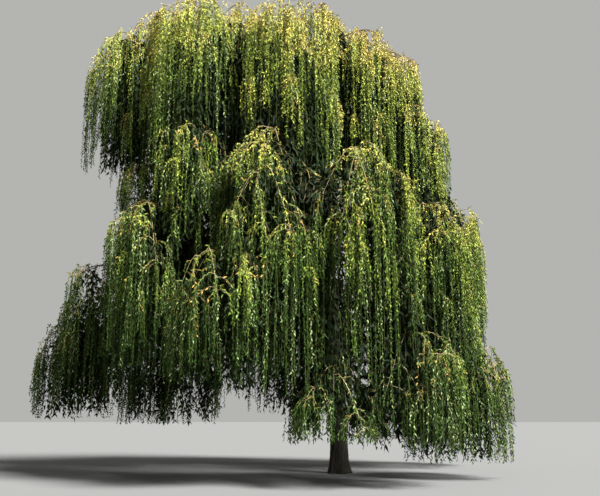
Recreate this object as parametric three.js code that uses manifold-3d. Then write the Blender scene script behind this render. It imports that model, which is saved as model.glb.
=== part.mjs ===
// A weeping willow about 16 m tall, standing on level ground. Millimetres, +Z up, origin at the middle of
// the flat cut under the trunk. The front, the side that the tree is usually seen from, faces -Y.
//
// The trunk carries four limbs, trunk and limbs carry boughs, and every tip carries one mass of weeping
// foliage: a stem that arches over, twigs that fan out from it, and hanging sprays fused on under both.
import * as THREE from "three";
import { mergeVertices } from "three/addons/utils/BufferGeometryUtils.js";
import Module from "manifold-3d";

const wasm = await Module();
wasm.setup();

// Trunk
const TRUNK_TOP = 14900; // height of the leader's tip, where the summit mass begins
const TRUNK_RADIUS = 264; // just above the flare
const LEADER_TIP_RADIUS = 42;
const TRUNK_LEAN = -2650; // how far the leader's tip stands to the left of the foot
const TRUNK_DEPTH = 350; // and how far behind it
const LEAN_START = 3200; // the trunk is upright below this height
const LEAN_BEND = 1.6; // how gradually the lean sets in
const TRUNK_TAPER = 0.85;
const FLARE = 0.38; // extra radius of the root flare at the ground, as a share
const FLARE_FADE = 330; // height over which the flare fades by a factor e
const BUTTRESSES = 5;
const BUTTRESS_DEPTH = 0.17;
const TRUNK_SIDES = 12;
const TRUNK_STEPS = 13;
const FOOT_CROWDING = 1.9; // brings the steps closer together towards the foot

// Limbs and boughs
const LIMB_TIP_RADIUS = 36;
const LIMB_SIDES = 7;
const LIMB_STEPS = 8;
const BOUGH_TIP_RADIUS = 26;
const BOUGH_ROOT_RADIUS = 40; // of a very short bough
const BOUGH_THICKENING = 0.0075; // added root radius for each millimetre of length
const BOUGH_SIDES = 5;
const BOUGH_STEPS = 5;
const SWAY = 0.025; // sideways wander of a limb, as a share of its length
const GAP = 0.35; // clearance where one piece meets the next

// Foliage
const STEM_SIDES = 3;
const STEM_STEPS = 4;
const STEM_END_RADIUS = 13;
const STEM_PERCHES = [0.3, 0.62, 0.95]; // where along a stem its sprays hang
const TWIGS = 6; // fanned out from each stem
const FIRST_TWIG = 0.12; // where along the stem they begin
const LAST_TWIG = 0.9; // and end
const TWIG_ANGLE = 118; // degrees from the stem's bearing, for one at the stem's very root
const TWIG_CLOSING = 75; // degrees by which that angle has closed at the stem's end
const TWIG_STRAY = 24; // degrees of random spread in it
const SHORTEST_TWIG = 0.75; // as a share of the way to the rim of the bell
const LONGEST_TWIG = 1;
const DOME = 0.5; // how far the rim lies below the crest, as a share of the half width
const DOME_STRAY = 0.45; // and how much lower than that dome a twig may end, in the same
const TWIG_RISE = 0.32; // how strongly a twig arches
const TWIG_PERCHES = [0.45, 1];
const TWIG_SIDES = 3;
const TWIG_STEPS = 2;
const TWIG_ROOT_RADIUS = 22;
const TWIG_END_RADIUS = 14;
const SPRAY_WIDTH = 750;
const SPRAY_THICKNESS = 70;
const SPRAY_WIDEST = 0.27; // where along its length a spray is broadest
const SPRAY_STRAY = 70; // degrees of random turn from facing outwards
const SPRAY_SUNK = 5; // its root lies this far above the middle of the twig
const SHORTEST_SPRAY = 800;
const RAGGEDNESS = 0.3; // by how much the hem varies, as a share of the drop
const SHORTER_SHARES = [0.55, 0.35]; // of the drop, tried in turn where a long spray would touch something
const NEIGHBOUR_SPACING = 420; // between the sprays of one mass
const CLEAR_OF_OTHERS = 8; // between the pieces of different masses
const SPACE_RADIUS = 1.02; // the space of a mass, in half widths
const SPACE_ABOVE = 0.4; // and its room above the crest, in the same
const SEED = 79;

function named(sizes) {
  return Object.entries(sizes).map(([name, size]) => ({ name, ...size }));
}

// Four limbs: height on the trunk, bearing and reach of the tip from the foot, its height, root radius.
const LIMBS = named({
  left: { from: 3700, bearing: 178, reach: 6500, tip: 12600, root: 135 },
  front: { from: 4100, bearing: -121, reach: 3300, tip: 8800, root: 115 },
  right: { from: 3300, bearing: -10, reach: 1000, tip: 12600, root: 130 },
  back: { from: 4800, bearing: 120, reach: 3700, tip: 11100, root: 115 },
});

// The masses at the tips of the leader and the limbs, then those with a bough of their own. `at` is the
// share of the parent's length where the bough leaves it. Bearing and reach place the crest about the foot
// of the trunk, crest is its height, hem the height of the lowest tips and spread the half width.
const MASSES = named({
  summit: { tip: "trunk", bearing: 172, reach: 3100, crest: 16100, hem: 9800, spread: 1800 },
  shoulder_left: { tip: "left", bearing: 180, reach: 7000, crest: 14400, hem: 9500, spread: 1450 },
  front_upper: { tip: "front", bearing: -117, reach: 4100, crest: 9500, hem: 5000, spread: 1550 },
  shoulder_right: { tip: "right", bearing: -10, reach: 1600, crest: 13700, hem: 7500, spread: 1300 },
  back_upper: { tip: "back", bearing: 116, reach: 4300, crest: 11900, hem: 6000, spread: 2150 },

  top_left: { from: "trunk", at: 0.83, bearing: 180, reach: 5700, crest: 15600, hem: 9400, spread: 1800 },
  top_right: { from: "trunk", at: 0.86, bearing: 145, reach: 700, crest: 15500, hem: 9300, spread: 1600 },
  upper_right: { from: "trunk", at: 0.7, bearing: -50, reach: 950, crest: 14400, hem: 8000, spread: 1400 },
  dome_left: { from: "trunk", at: 0.78, bearing: -153, reach: 4900, crest: 14400, hem: 8300, spread: 1700 },
  dome_right: { from: "trunk", at: 0.74, bearing: -128, reach: 2700, crest: 14400, hem: 7800, spread: 1700 },
  dome_back: { from: "trunk", at: 0.8, bearing: 126, reach: 3600, crest: 14300, hem: 7300, spread: 2100 },

  inner_left: { from: "left", at: 0.6, bearing: -147, reach: 5100, crest: 10000, hem: 5800, spread: 1400 },
  mid_left: { from: "left", at: 0.72, bearing: -163, reach: 5600, crest: 9600, hem: 4900, spread: 1350 },
  left_crest: { from: "left", at: 0.42, bearing: -148, reach: 6100, crest: 7500, hem: 2600, spread: 1450 },
  left_flank: { from: "left", at: 0.5, bearing: -175, reach: 7250, crest: 6300, hem: 2000, spread: 1300 },
  far_left: { from: "left", at: 0.22, bearing: 179, reach: 8300, crest: 4700, hem: 1700, spread: 1250 },

  centre: { from: "front", at: 0.55, bearing: -114, reach: 4800, crest: 8100, hem: 2200, spread: 1650 },
  centre_left: { from: "front", at: 0.28, bearing: -122, reach: 6000, crest: 5700, hem: 2500, spread: 1450 },
  front_skirt: { from: "trunk", at: 0.2, bearing: -94, reach: 4600, crest: 2900, hem: 1100, spread: 1500 },

  centre_right: { from: "right", at: 0.45, bearing: -85, reach: 4200, crest: 8700, hem: 1400, spread: 1700 },
  right_crest: { from: "right", at: 0.32, bearing: -54, reach: 3900, crest: 7500, hem: 2400, spread: 1400 },
  right_upper: { from: "right", at: 0.66, bearing: 4, reach: 2200, crest: 12000, hem: 6600, spread: 1650 },
  far_right: { from: "right", at: 0.5, bearing: 0, reach: 3050, crest: 8600, hem: 3100, spread: 1700 },
  right_skirt_in: { from: "right", at: 0.16, bearing: -70, reach: 4800, crest: 3700, hem: 900, spread: 1400 },
  right_skirt: { from: "trunk", at: 0.225, bearing: -31, reach: 3800, crest: 3800, hem: 500, spread: 1500 },

  back_right: { from: "right", at: 0.5, bearing: 50, reach: 4000, crest: 8900, hem: 3200, spread: 2050 },
  back_left: { from: "back", at: 0.62, bearing: 153, reach: 6400, crest: 9000, hem: 3700, spread: 2000 },
  back_centre: { from: "back", at: 0.4, bearing: 103, reach: 4900, crest: 7600, hem: 1800, spread: 2150 },
  back_skirt_in: { from: "trunk", at: 0.27, bearing: 40, reach: 4600, crest: 4700, hem: 900, spread: 1900 },
  back_skirt_out: { from: "left", at: 0.14, bearing: 150, reach: 6700, crest: 5200, hem: 1500, spread: 1900 },
});

const UP = new THREE.Vector3(0, 0, 1);
const radians = THREE.MathUtils.degToRad;
const lerp = THREE.MathUtils.lerp;

// A small seeded generator, so that the tree grows the same way each time.
function seeded(seed) {
  let state = seed >>> 0;
  return () => {
    state = (state + 0x6d2b79f5) >>> 0;
    let t = Math.imul(state ^ (state >>> 15), state | 1);
    t ^= t + Math.imul(t ^ (t >>> 7), t | 61);
    return ((t ^ (t >>> 14)) >>> 0) / 4294967296;
  };
}

// Plan position at a bearing and reach from the foot, raised to a height.
function placed(bearing, reach, height) {
  const a = radians(bearing);
  return new THREE.Vector3(reach * Math.cos(a), reach * Math.sin(a), height);
}

function along(origin, ...steps) {
  return steps.reduce((p, [direction, length]) => p.addScaledVector(direction, length), origin.clone());
}

// The level direction from one point to another.
function levelDirection(from, to) {
  return new THREE.Vector3(to.x - from.x, to.y - from.y, 0).normalize();
}

// Rings of points, each counter-clockwise about the way of growth, as one closed skin. A ring of one point
// is a tip.
function skin(rings) {
  const corners = rings.flat();
  const starts = rings.map((_, i) => rings.slice(0, i).reduce((n, ring) => n + ring.length, 0));
  const faces = [];
  for (let i = 0; i + 1 < rings.length; i++) {
    const n = Math.max(rings[i].length, rings[i + 1].length);
    for (let k = 0; k < n; k++) {
      const low = (j) => starts[i] + (j % rings[i].length);
      const high = (j) => starts[i + 1] + (j % rings[i + 1].length);
      if (rings[i].length > 1) faces.push([low(k), low(k + 1), high(k + 1)]);
      if (rings[i + 1].length > 1) faces.push([low(k), high(k + 1), high(k)]);
    }
  }
  const last = rings.length - 1;
  for (let k = 1; k + 1 < rings[0].length; k++) faces.push([0, k + 1, k]);
  for (let k = 1; k + 1 < rings[last].length; k++)
    faces.push([starts[last], starts[last] + k, starts[last] + k + 1]);
  const geometry = new THREE.BufferGeometry().setFromPoints(corners);
  return geometry.setIndex(faces.flat());
}

function solidOf(geometry) {
  const merged = mergeVertices(geometry);
  const mesh = new wasm.Mesh({
    numProp: 3,
    vertProperties: new Float32Array(merged.attributes.position.array),
    triVerts: new Uint32Array(merged.index.array),
  });
  return new wasm.Manifold(mesh);
}

function geometryOf(solid) {
  const mesh = solid.getMesh();
  const positions = new THREE.BufferAttribute(new Float32Array(mesh.vertProperties), mesh.numProp);
  const geometry = new THREE.BufferGeometry().setAttribute("position", positions);
  return geometry.setIndex(new THREE.BufferAttribute(new Uint32Array(mesh.triVerts), 1));
}

// The largest of the separate bodies that a cut leaves.
function mainBody(solid) {
  return solid.decompose().reduce((a, b) => (b.volume() > a.volume() ? b : a));
}

// A tapering, gently swaying shaft in one upright plane: a limb, bough, stem or twig.
class Shaft {
  constructor(curve, out, root, tip, sway = 0) {
    this.curve = curve;
    this.side = new THREE.Vector3(-out.y, out.x, 0);
    this.out = out;
    this.root = root;
    this.tip = tip;
    this.sway = sway * curve.getLength();
  }
  point(t) {
    return along(this.curve.getPoint(t), [this.side, this.sway * Math.sin(2 * Math.PI * t)]);
  }
  direction(t) {
    return this.curve.getTangent(t);
  }
  radius(t) {
    return lerp(this.root, this.tip, t);
  }
  ring(t, sides, extra = 0) {
    const rise = new THREE.Vector3().crossVectors(this.direction(t), this.side);
    const reach = this.radius(t) + extra;
    return Array.from({ length: sides }, (_, k) => {
      const turn = (2 * Math.PI * k) / sides;
      return along(this.point(t), [this.side, reach * Math.cos(turn)], [rise, reach * Math.sin(turn)]);
    });
  }
  solid(sides, steps, extra = 0) {
    const rings = Array.from({ length: steps + 1 }, (_, i) => this.ring(i / steps, sides, extra));
    for (const corner of rings[steps]) corner.addScaledVector(this.direction(1), extra);
    return solidOf(skin(rings));
  }
}

// The trunk: upright to the first limbs, then a leader that leans to the left, on a buttressed root flare.
const trunk = {
  lean(height) {
    return Math.max(0, (height - LEAN_START) / (TRUNK_TOP - LEAN_START)) ** LEAN_BEND;
  },
  point(t) {
    const height = t * TRUNK_TOP;
    return new THREE.Vector3(TRUNK_LEAN * this.lean(height), TRUNK_DEPTH * this.lean(height), height);
  },
  direction(t) {
    const step = 0.01;
    return this.point(t).sub(this.point(t - step)).normalize();
  },
  radius(t) {
    return LEADER_TIP_RADIUS + (TRUNK_RADIUS - LEADER_TIP_RADIUS) * (1 - t) ** TRUNK_TAPER;
  },
  ring(height, extra = 0) {
    const t = height / TRUNK_TOP;
    const foot = Math.exp(-height / FLARE_FADE);
    return Array.from({ length: TRUNK_SIDES }, (_, k) => {
      const turn = (2 * Math.PI * k) / TRUNK_SIDES;
      const swell = 1 + foot * (FLARE + BUTTRESS_DEPTH * Math.cos(BUTTRESSES * turn));
      const reach = this.radius(t) * swell + extra;
      return this.point(t).add(new THREE.Vector3(reach * Math.cos(turn), reach * Math.sin(turn), 0));
    });
  },
  solid(extra = 0) {
    const level = (i) => TRUNK_TOP * (i / TRUNK_STEPS) ** FOOT_CROWDING;
    const rings = Array.from({ length: TRUNK_STEPS + 1 }, (_, i) => this.ring(level(i), extra));
    for (const corner of rings[TRUNK_STEPS]) corner.z += extra;
    return solidOf(skin(rings));
  },
};

// A limb rises steeply from the trunk and leans out towards its tip.
function limbShaft({ from, bearing, reach, tip, root }) {
  const start = trunk.point(from / TRUNK_TOP);
  const end = placed(bearing, reach, tip);
  const out = levelDirection(start, end);
  const span = Math.hypot(end.x - start.x, end.y - start.y);
  const rise = end.z - start.z;
  const curve = new THREE.CubicBezierCurve3(
    start,
    along(start, [out, 0.45 * span], [UP, 0.22 * rise]),
    along(start, [out, 0.8 * span], [UP, 0.65 * rise]),
    end,
  );
  return new Shaft(curve, out, root, LIMB_TIP_RADIUS, SWAY);
}

// A bough leaves its parent at an angle and levels out just inside the crest of its mass.
function boughShaft(parent, { at, crest, bearing, reach, spread }) {
  const start = parent.point(at);
  const top = placed(bearing, reach, crest);
  const out = levelDirection(start, top);
  const end = along(top, [out, -0.8 * spread], [UP, -0.28 * spread]);
  const span = Math.hypot(end.x - start.x, end.y - start.y);
  const rise = end.z - start.z;
  const curve = new THREE.CubicBezierCurve3(
    start,
    along(start, [out, 0.3 * span], [UP, 0.5 * rise + 0.04 * span]),
    along(end, [out, -0.3 * span], [UP, -0.12 * span]),
    end,
  );
  const root = BOUGH_ROOT_RADIUS + BOUGH_THICKENING * curve.getLength();
  return new Shaft(curve, out, root, BOUGH_TIP_RADIUS, SWAY);
}

// The stem of a mass goes on from the tip that carries it, over the crest and down on the far side.
function stemShaft(carrier, { crest, bearing, reach, spread }) {
  const tangent = carrier.direction(1);
  const start = along(carrier.point(1), [tangent, GAP]);
  const top = placed(bearing, reach, crest);
  const out = carrier.out ?? levelDirection(start, top);
  const end = along(top, [out, 0.75 * spread], [UP, -0.5 * spread]);
  const leaving = along(start, [tangent, 0.35 * start.distanceTo(top)]);
  // The second control point that takes the curve exactly over the crest at its middle.
  const over = top.clone().multiplyScalar(8).sub(start).sub(end).divideScalar(3).sub(leaving);
  const curve = new THREE.CubicBezierCurve3(start, leaving, over, end);
  return new Shaft(curve, out, carrier.radius(1), STEM_END_RADIUS);
}

// How far it is from a point, along a level direction, to the rim of the bell that a mass fills.
function rimDistance(root, out, { bearing, reach, spread }) {
  const offset = placed(bearing, reach, root.z).sub(root).negate();
  const onward = offset.dot(out);
  return Math.sqrt(Math.max(0, onward ** 2 + spread ** 2 - offset.lengthSq())) - onward;
}

// The height of the bell's dome above a point of its plan.
function domeHeight(point, { bearing, reach, crest, spread }) {
  const middle = placed(bearing, reach, point.z);
  return crest - (DOME * point.distanceToSquared(middle)) / spread;
}

// A twig fans out from the stem towards the rim of the bell: it arches over and ends under the dome.
function twigShaft(stem, mass, t, turn, share, drop) {
  const root = stem.point(t);
  const out = stem.out.clone().applyAxisAngle(UP, turn);
  const length = share * rimDistance(root, out, mass);
  const end = along(root, [out, length]);
  end.z = domeHeight(end, mass) - drop * mass.spread;
  const curve = new THREE.CubicBezierCurve3(
    root,
    along(root, [out, 0.35 * length], [UP, TWIG_RISE * length]),
    along(end, [out, -0.2 * length], [UP, TWIG_RISE * length]),
    end,
  );
  return new Shaft(curve, out, TWIG_ROOT_RADIUS, TWIG_END_RADIUS);
}

// A hanging spray: a long flat lance with a ridge down its back, its root sunk in the twig above it.
function spraySolid(root, foot, facing) {
  const across = new THREE.Vector3(Math.cos(facing), Math.sin(facing), 0);
  const through = new THREE.Vector3(-Math.sin(facing), Math.cos(facing), 0);
  const widest = root.clone().lerp(foot, SPRAY_WIDEST);
  const waist = [
    [across, 0.5 * SPRAY_WIDTH],
    [through, -SPRAY_THICKNESS],
    [across, -0.5 * SPRAY_WIDTH],
  ].map((step) => along(widest, step));
  return solidOf(skin([[root], waist, [foot]]));
}

// Everything that stands so far, as { owner, solid, box }, for the clearance tests.
const standing = [];

function stand(owner, solid) {
  standing.push({ owner, solid, box: solid.boundingBox() });
}

// Whether a solid comes too close to anything that another owner has standing.
function touches(owner, solid) {
  const { min, max } = solid.boundingBox();
  const reaches = (low, high) => low < high + CLEAR_OF_OTHERS;
  const meets = (box, k) => reaches(box.min[k], max[k]) && reaches(min[k], box.max[k]);
  const near = ({ box }) => [0, 1, 2].every((k) => meets(box, k));
  return standing
    .filter((piece) => piece.owner !== owner && near(piece))
    .some((piece) => solid.minGap(piece.solid, CLEAR_OF_OTHERS) < CLEAR_OF_OTHERS);
}

// Whether a point keeps to the space of its mass, a bell round the crest that is open below.
function inSpace(point, { crest, bearing, reach, spread, hem }) {
  const middle = placed(bearing, reach, 0);
  const level = Math.hypot(point.x - middle.x, point.y - middle.y);
  const high = crest + SPACE_ABOVE * spread;
  return level < SPACE_RADIUS * spread && point.z >= hem && point.z < high;
}

// The twigs of a mass, fanned out to both sides of its stem. A twig that would leave the space of its mass or
// touch another piece is skipped.
function growTwigs(mass, stem, random) {
  const twigs = [];
  for (let i = 0; i < TWIGS; i++) {
    const t = lerp(FIRST_TWIG, LAST_TWIG, i / (TWIGS - 1));
    const hand = i % 2 ? 1 : -1;
    const turn = hand * radians(TWIG_ANGLE - TWIG_CLOSING * t + TWIG_STRAY * (random() - 0.5));
    const share = lerp(SHORTEST_TWIG, LONGEST_TWIG, random());
    const twig = twigShaft(stem, mass, t, turn, share, DOME_STRAY * random());
    const solid = twig.solid(TWIG_SIDES, TWIG_STEPS);
    const strays = !inSpace(twig.point(0.5), mass) || !inSpace(twig.point(1), mass);
    if (strays || touches(mass.name, solid)) continue;
    twigs.push(twig);
    stand(mass.name, solid);
  }
  return twigs;
}

// The sprays of a mass, hung from its stem and twigs. Each tries a long, a middling and a short length.
function hangSprays(mass, stem, twigs, random) {
  const perches = STEM_PERCHES.map((t) => stem.point(t));
  perches.push(...twigs.flatMap((twig) => TWIG_PERCHES.map((t) => twig.point(t))));
  const middle = placed(mass.bearing, mass.reach, 0);
  const hung = [];
  for (const perch of perches) {
    const ragged = random();
    const away = Math.atan2(perch.y - middle.y, perch.x - middle.x);
    const facing = away + Math.PI / 2 + radians(SPRAY_STRAY) * (random() - 0.5);
    const beside = (other) => Math.hypot(perch.x - other.x, perch.y - other.y) < NEIGHBOUR_SPACING;
    if (hung.some(beside)) continue;
    const root = along(perch, [UP, SPRAY_SUNK]);
    for (const share of [1 - RAGGEDNESS * ragged, ...SHORTER_SHARES]) {
      const length = Math.max((root.z - mass.hem) * share, SHORTEST_SPRAY);
      const foot = along(root, [UP, -length]);
      const solid = spraySolid(root, foot, facing);
      if (!inSpace(foot, mass) || touches(mass.name, solid)) continue;
      stand(mass.name, solid);
      hung.push(perch);
      break;
    }
  }
}

const BARK = new THREE.MeshStandardMaterial({ color: 0x4a4034, roughness: 0.95, metalness: 0 });
const LEAF_GREEN = new THREE.Color(0x4f6326);
const LEAF_SUNLIT = new THREE.Color(0x93a03f);

// Foliage is yellower towards the top of the tree, where the light falls on it.
function leafMaterial(crest) {
  const color = LEAF_GREEN.clone().lerp(LEAF_SUNLIT, crest / TRUNK_TOP);
  return new THREE.MeshStandardMaterial({ color, roughness: 0.6, metalness: 0 });
}

const willow = new THREE.Group();

function addNode(name, solid, material) {
  const mesh = new THREE.Mesh(geometryOf(solid), material);
  mesh.name = name;
  willow.add(mesh);
}

const shafts = { trunk };
let wood = trunk.solid(GAP); // everything that later limbs and boughs are cut clear of
addNode("trunk", trunk.solid(), BARK);
stand("trunk", trunk.solid());

function addShaft(name, key, shaft, sides, steps) {
  const solid = mainBody(shaft.solid(sides, steps).subtract(wood));
  addNode(name, solid, BARK);
  stand(name, solid);
  wood = wood.add(shaft.solid(sides, steps, GAP));
  shafts[key] = shaft;
}

for (const limb of LIMBS) {
  addShaft("limb_" + limb.name, limb.name, limbShaft(limb), LIMB_SIDES, LIMB_STEPS);
}

for (const mass of MASSES.filter((m) => m.from)) {
  const shaft = boughShaft(shafts[mass.from], mass);
  addShaft("bough_" + mass.name, mass.name, shaft, BOUGH_SIDES, BOUGH_STEPS);
}

// Stems come first, then all the twigs, then the sprays, so that no mass crowds out the frame of another.
const random = seeded(SEED);
const stems = MASSES.map((mass) => stemShaft(shafts[mass.tip ?? mass.name], mass));
MASSES.forEach((mass, i) => stand(mass.name, stems[i].solid(STEM_SIDES, STEM_STEPS)));
const twigs = MASSES.map((mass, i) => growTwigs(mass, stems[i], random));
MASSES.forEach((mass, i) => hangSprays(mass, stems[i], twigs[i], random));

for (const mass of MASSES) {
  const pieces = standing.filter((piece) => piece.owner === mass.name).map((piece) => piece.solid);
  const whole = pieces.reduce((sum, piece) => sum.add(piece)).subtract(wood);
  addNode("foliage_" + mass.name, mainBody(whole), leafMaterial(mass.crest));
}

export default willow;
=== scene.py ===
# %% [markdown]
# A weeping willow, about 16 m tall. On the real tree, four limbs leave the trunk, and boughs leave both. Each
# tip arches over and carries one mass of foliage, and from its twigs hang long thin shoots with narrow leaves.
# The solids of the frame already say where the trunk, limbs, boughs and masses are. This script grows the same
# tree again by the same rule, in metres, and carries it on to hanging shoots and single leaves.

# %% Load the frame
import math

import bmesh
import bpy
import numpy as np
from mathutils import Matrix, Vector, kdtree, noise


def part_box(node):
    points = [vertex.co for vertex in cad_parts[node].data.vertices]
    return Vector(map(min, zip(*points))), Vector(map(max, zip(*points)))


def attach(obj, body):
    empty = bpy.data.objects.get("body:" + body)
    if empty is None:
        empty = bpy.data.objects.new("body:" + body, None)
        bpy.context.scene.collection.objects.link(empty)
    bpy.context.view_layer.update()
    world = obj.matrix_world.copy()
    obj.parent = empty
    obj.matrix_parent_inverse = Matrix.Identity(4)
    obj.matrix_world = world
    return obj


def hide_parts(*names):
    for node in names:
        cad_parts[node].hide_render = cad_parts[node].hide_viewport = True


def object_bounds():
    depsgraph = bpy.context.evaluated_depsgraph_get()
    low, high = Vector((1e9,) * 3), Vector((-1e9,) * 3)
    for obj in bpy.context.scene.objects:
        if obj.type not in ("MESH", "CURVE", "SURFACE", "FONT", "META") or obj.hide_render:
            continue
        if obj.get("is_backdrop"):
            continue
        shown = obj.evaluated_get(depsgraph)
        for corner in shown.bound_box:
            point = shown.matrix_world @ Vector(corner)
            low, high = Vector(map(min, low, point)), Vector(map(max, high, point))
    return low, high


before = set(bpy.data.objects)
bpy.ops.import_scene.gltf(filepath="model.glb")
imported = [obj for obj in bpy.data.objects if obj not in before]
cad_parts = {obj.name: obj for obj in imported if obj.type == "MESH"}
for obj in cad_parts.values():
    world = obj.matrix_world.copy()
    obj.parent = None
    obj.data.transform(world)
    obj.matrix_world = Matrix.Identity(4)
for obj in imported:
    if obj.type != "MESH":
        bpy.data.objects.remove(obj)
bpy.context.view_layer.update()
print("nodes in the frame:", len(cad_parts))

# %% [markdown]
# The photograph was taken, at eye height, about 23 m in front of the trunk, with the camera
# tilted up so that the summit just touches the upper edge. The camera comes first, so that every later step
# can be looked at from there. A focal length in pixels is turned into millimetres by the sensor's width.

# %% The camera
PHOTO_WIDTH = 600
FOCAL_PIXELS = 724
SENSOR_WIDTH = 36.0
CAMERA_PLACE = (-1.19, -23.0, 1.6)
CAMERA_TILT = 13.3  # degrees above the horizon


def make_camera():
    data = bpy.data.cameras.new("camera")
    data.sensor_width = SENSOR_WIDTH
    data.lens = FOCAL_PIXELS * SENSOR_WIDTH / PHOTO_WIDTH
    camera = bpy.data.objects.new("camera", data)
    camera.location = CAMERA_PLACE
    camera.rotation_euler = (math.radians(90 + CAMERA_TILT), 0, 0)
    bpy.context.scene.collection.objects.link(camera)
    bpy.context.scene.camera = camera
    return camera


camera = make_camera()
print("lens:", round(camera.data.lens, 2), "mm")

# %% [markdown]
# The driving sizes of the trunk and its limbs, as in the frame's solids. A limb is told by where it leaves the
# trunk and by its tip, whose place in plan is a bearing and a reach from the foot.

# %% Sizes of the trunk and limbs
TRUNK_TOP = 14.9
TRUNK_RADIUS = 0.264
LEADER_TIP_RADIUS = 0.042
TRUNK_LEAN = -2.65
TRUNK_DEPTH = 0.35
LEAN_START = 3.2
LEAN_BEND = 1.6
TRUNK_TAPER = 0.85
FLARE = 0.38
FLARE_FADE = 0.33
BUTTRESSES = 5
BUTTRESS_DEPTH = 0.17
LIMB_TIP_RADIUS = 0.036
BOUGH_TIP_RADIUS = 0.026
BOUGH_ROOT_RADIUS = 0.04
BOUGH_THICKENING = 0.0075
SWAY = 0.025
GAP = 0.00035
UP = np.array((0.0, 0.0, 1.0))

# name: height on the trunk, bearing, reach, height of the tip, radius at the root
LIMBS = {
    "left": (3.7, 178, 6.5, 12.6, 0.135),
    "front": (4.1, -121, 3.3, 8.8, 0.115),
    "right": (3.3, -10, 1.0, 12.6, 0.130),
    "back": (4.8, 120, 3.7, 11.1, 0.115),
}

# %% [markdown]
# The masses of foliage: what carries each one, and for those with a bough of their own where along the carrier
# it leaves. Then come the bearing and reach of its crest, the heights of crest and hem, and its half width.

# %% Sizes of the masses
MASS_FACTS = {
    "summit": ("trunk", None, 172, 3.1, 16.1, 9.8, 1.8),
    "shoulder_left": ("left", None, 180, 7.0, 14.4, 9.5, 1.45),
    "front_upper": ("front", None, -117, 4.1, 9.5, 5.0, 1.55),
    "shoulder_right": ("right", None, -10, 1.6, 13.7, 7.5, 1.3),
    "back_upper": ("back", None, 116, 4.3, 11.9, 6.0, 2.15),
    "top_left": ("trunk", 0.83, 180, 5.7, 15.6, 9.4, 1.8),
    "top_right": ("trunk", 0.86, 145, 0.7, 15.5, 9.3, 1.6),
    "upper_right": ("trunk", 0.7, -50, 0.95, 14.4, 8.0, 1.4),
    "dome_left": ("trunk", 0.78, -153, 4.9, 14.4, 8.3, 1.7),
    "dome_right": ("trunk", 0.74, -128, 2.7, 14.4, 7.8, 1.7),
    "dome_back": ("trunk", 0.8, 126, 3.6, 14.3, 7.3, 2.1),
    "inner_left": ("left", 0.6, -147, 5.1, 10.0, 5.8, 1.4),
    "mid_left": ("left", 0.72, -163, 5.6, 9.6, 4.9, 1.35),
    "left_crest": ("left", 0.42, -148, 6.1, 7.5, 2.6, 1.45),
    "left_flank": ("left", 0.5, -175, 7.25, 6.3, 2.0, 1.3),
    "far_left": ("left", 0.22, 179, 8.3, 4.7, 1.7, 1.25),
    "centre": ("front", 0.55, -114, 4.8, 8.1, 2.2, 1.65),
    "centre_left": ("front", 0.28, -122, 6.0, 5.7, 2.5, 1.45),
    "front_skirt": ("trunk", 0.2, -94, 4.6, 2.9, 1.1, 1.5),
    "centre_right": ("right", 0.45, -85, 4.2, 8.7, 1.4, 1.7),
    "right_crest": ("right", 0.32, -54, 3.9, 7.5, 2.4, 1.4),
    "right_upper": ("right", 0.66, 4, 2.2, 12.0, 6.6, 1.65),
    "far_right": ("right", 0.5, 0, 3.05, 8.6, 3.1, 1.7),
    "right_skirt_in": ("right", 0.16, -70, 4.8, 3.7, 0.9, 1.4),
    "right_skirt": ("trunk", 0.225, -31, 3.8, 3.8, 0.5, 1.5),
    "back_right": ("right", 0.5, 50, 4.0, 8.9, 3.2, 2.05),
    "back_left": ("back", 0.62, 153, 6.4, 9.0, 3.7, 2.0),
    "back_centre": ("back", 0.4, 103, 4.9, 7.6, 1.8, 2.15),
    "back_skirt_in": ("trunk", 0.27, 40, 4.6, 4.7, 0.9, 1.9),
    "back_skirt_out": ("left", 0.14, 150, 6.7, 5.2, 1.5, 1.9),
}


def placed(bearing, reach, height):
    turn = math.radians(bearing)
    return np.array((reach * math.cos(turn), reach * math.sin(turn), height))


class Mass:
    def __init__(self, name, facts):
        self.name = name
        self.carrier, self.at, bearing, reach, self.crest, self.hem, self.spread = facts
        self.top = placed(bearing, reach, self.crest)
        self.outward = placed(bearing, 1, 0)


MASSES = [Mass(name, facts) for name, facts in MASS_FACTS.items()]
print("masses:", len(MASSES))

# %% [markdown]
# Every limb, bough, stem and twig is a tapering shaft along a cubic curve that lies in one upright plane, with a
# gentle sway to the side. The trunk has its own formula: upright at first, then leaning more and more.

# %% Shafts
LENGTH_SAMPLES = 200


def unit(vector):
    return vector / np.linalg.norm(vector)


def level_direction(start, end):
    return unit(np.array((end[0] - start[0], end[1] - start[1], 0.0)))


def turned(vector, angle):
    c, s = math.cos(angle), math.sin(angle)
    return np.array((c * vector[0] - s * vector[1], s * vector[0] + c * vector[1], vector[2]))


def bezier(controls, t):
    t = np.asarray(t, float)[..., None]
    a, b, c, d = controls
    return (1 - t) ** 3 * a + 3 * (1 - t) ** 2 * t * b + 3 * (1 - t) * t**2 * c + t**3 * d


def bezier_direction(controls, t):
    t = np.asarray(t, float)[..., None]
    a, b, c, d = controls
    slope = (1 - t) ** 2 * (b - a) + 2 * (1 - t) * t * (c - b) + t**2 * (d - c)
    return slope / np.linalg.norm(slope, axis=-1, keepdims=True)


def path_length(points):
    return float(np.linalg.norm(np.diff(points, axis=0), axis=1).sum())


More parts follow.
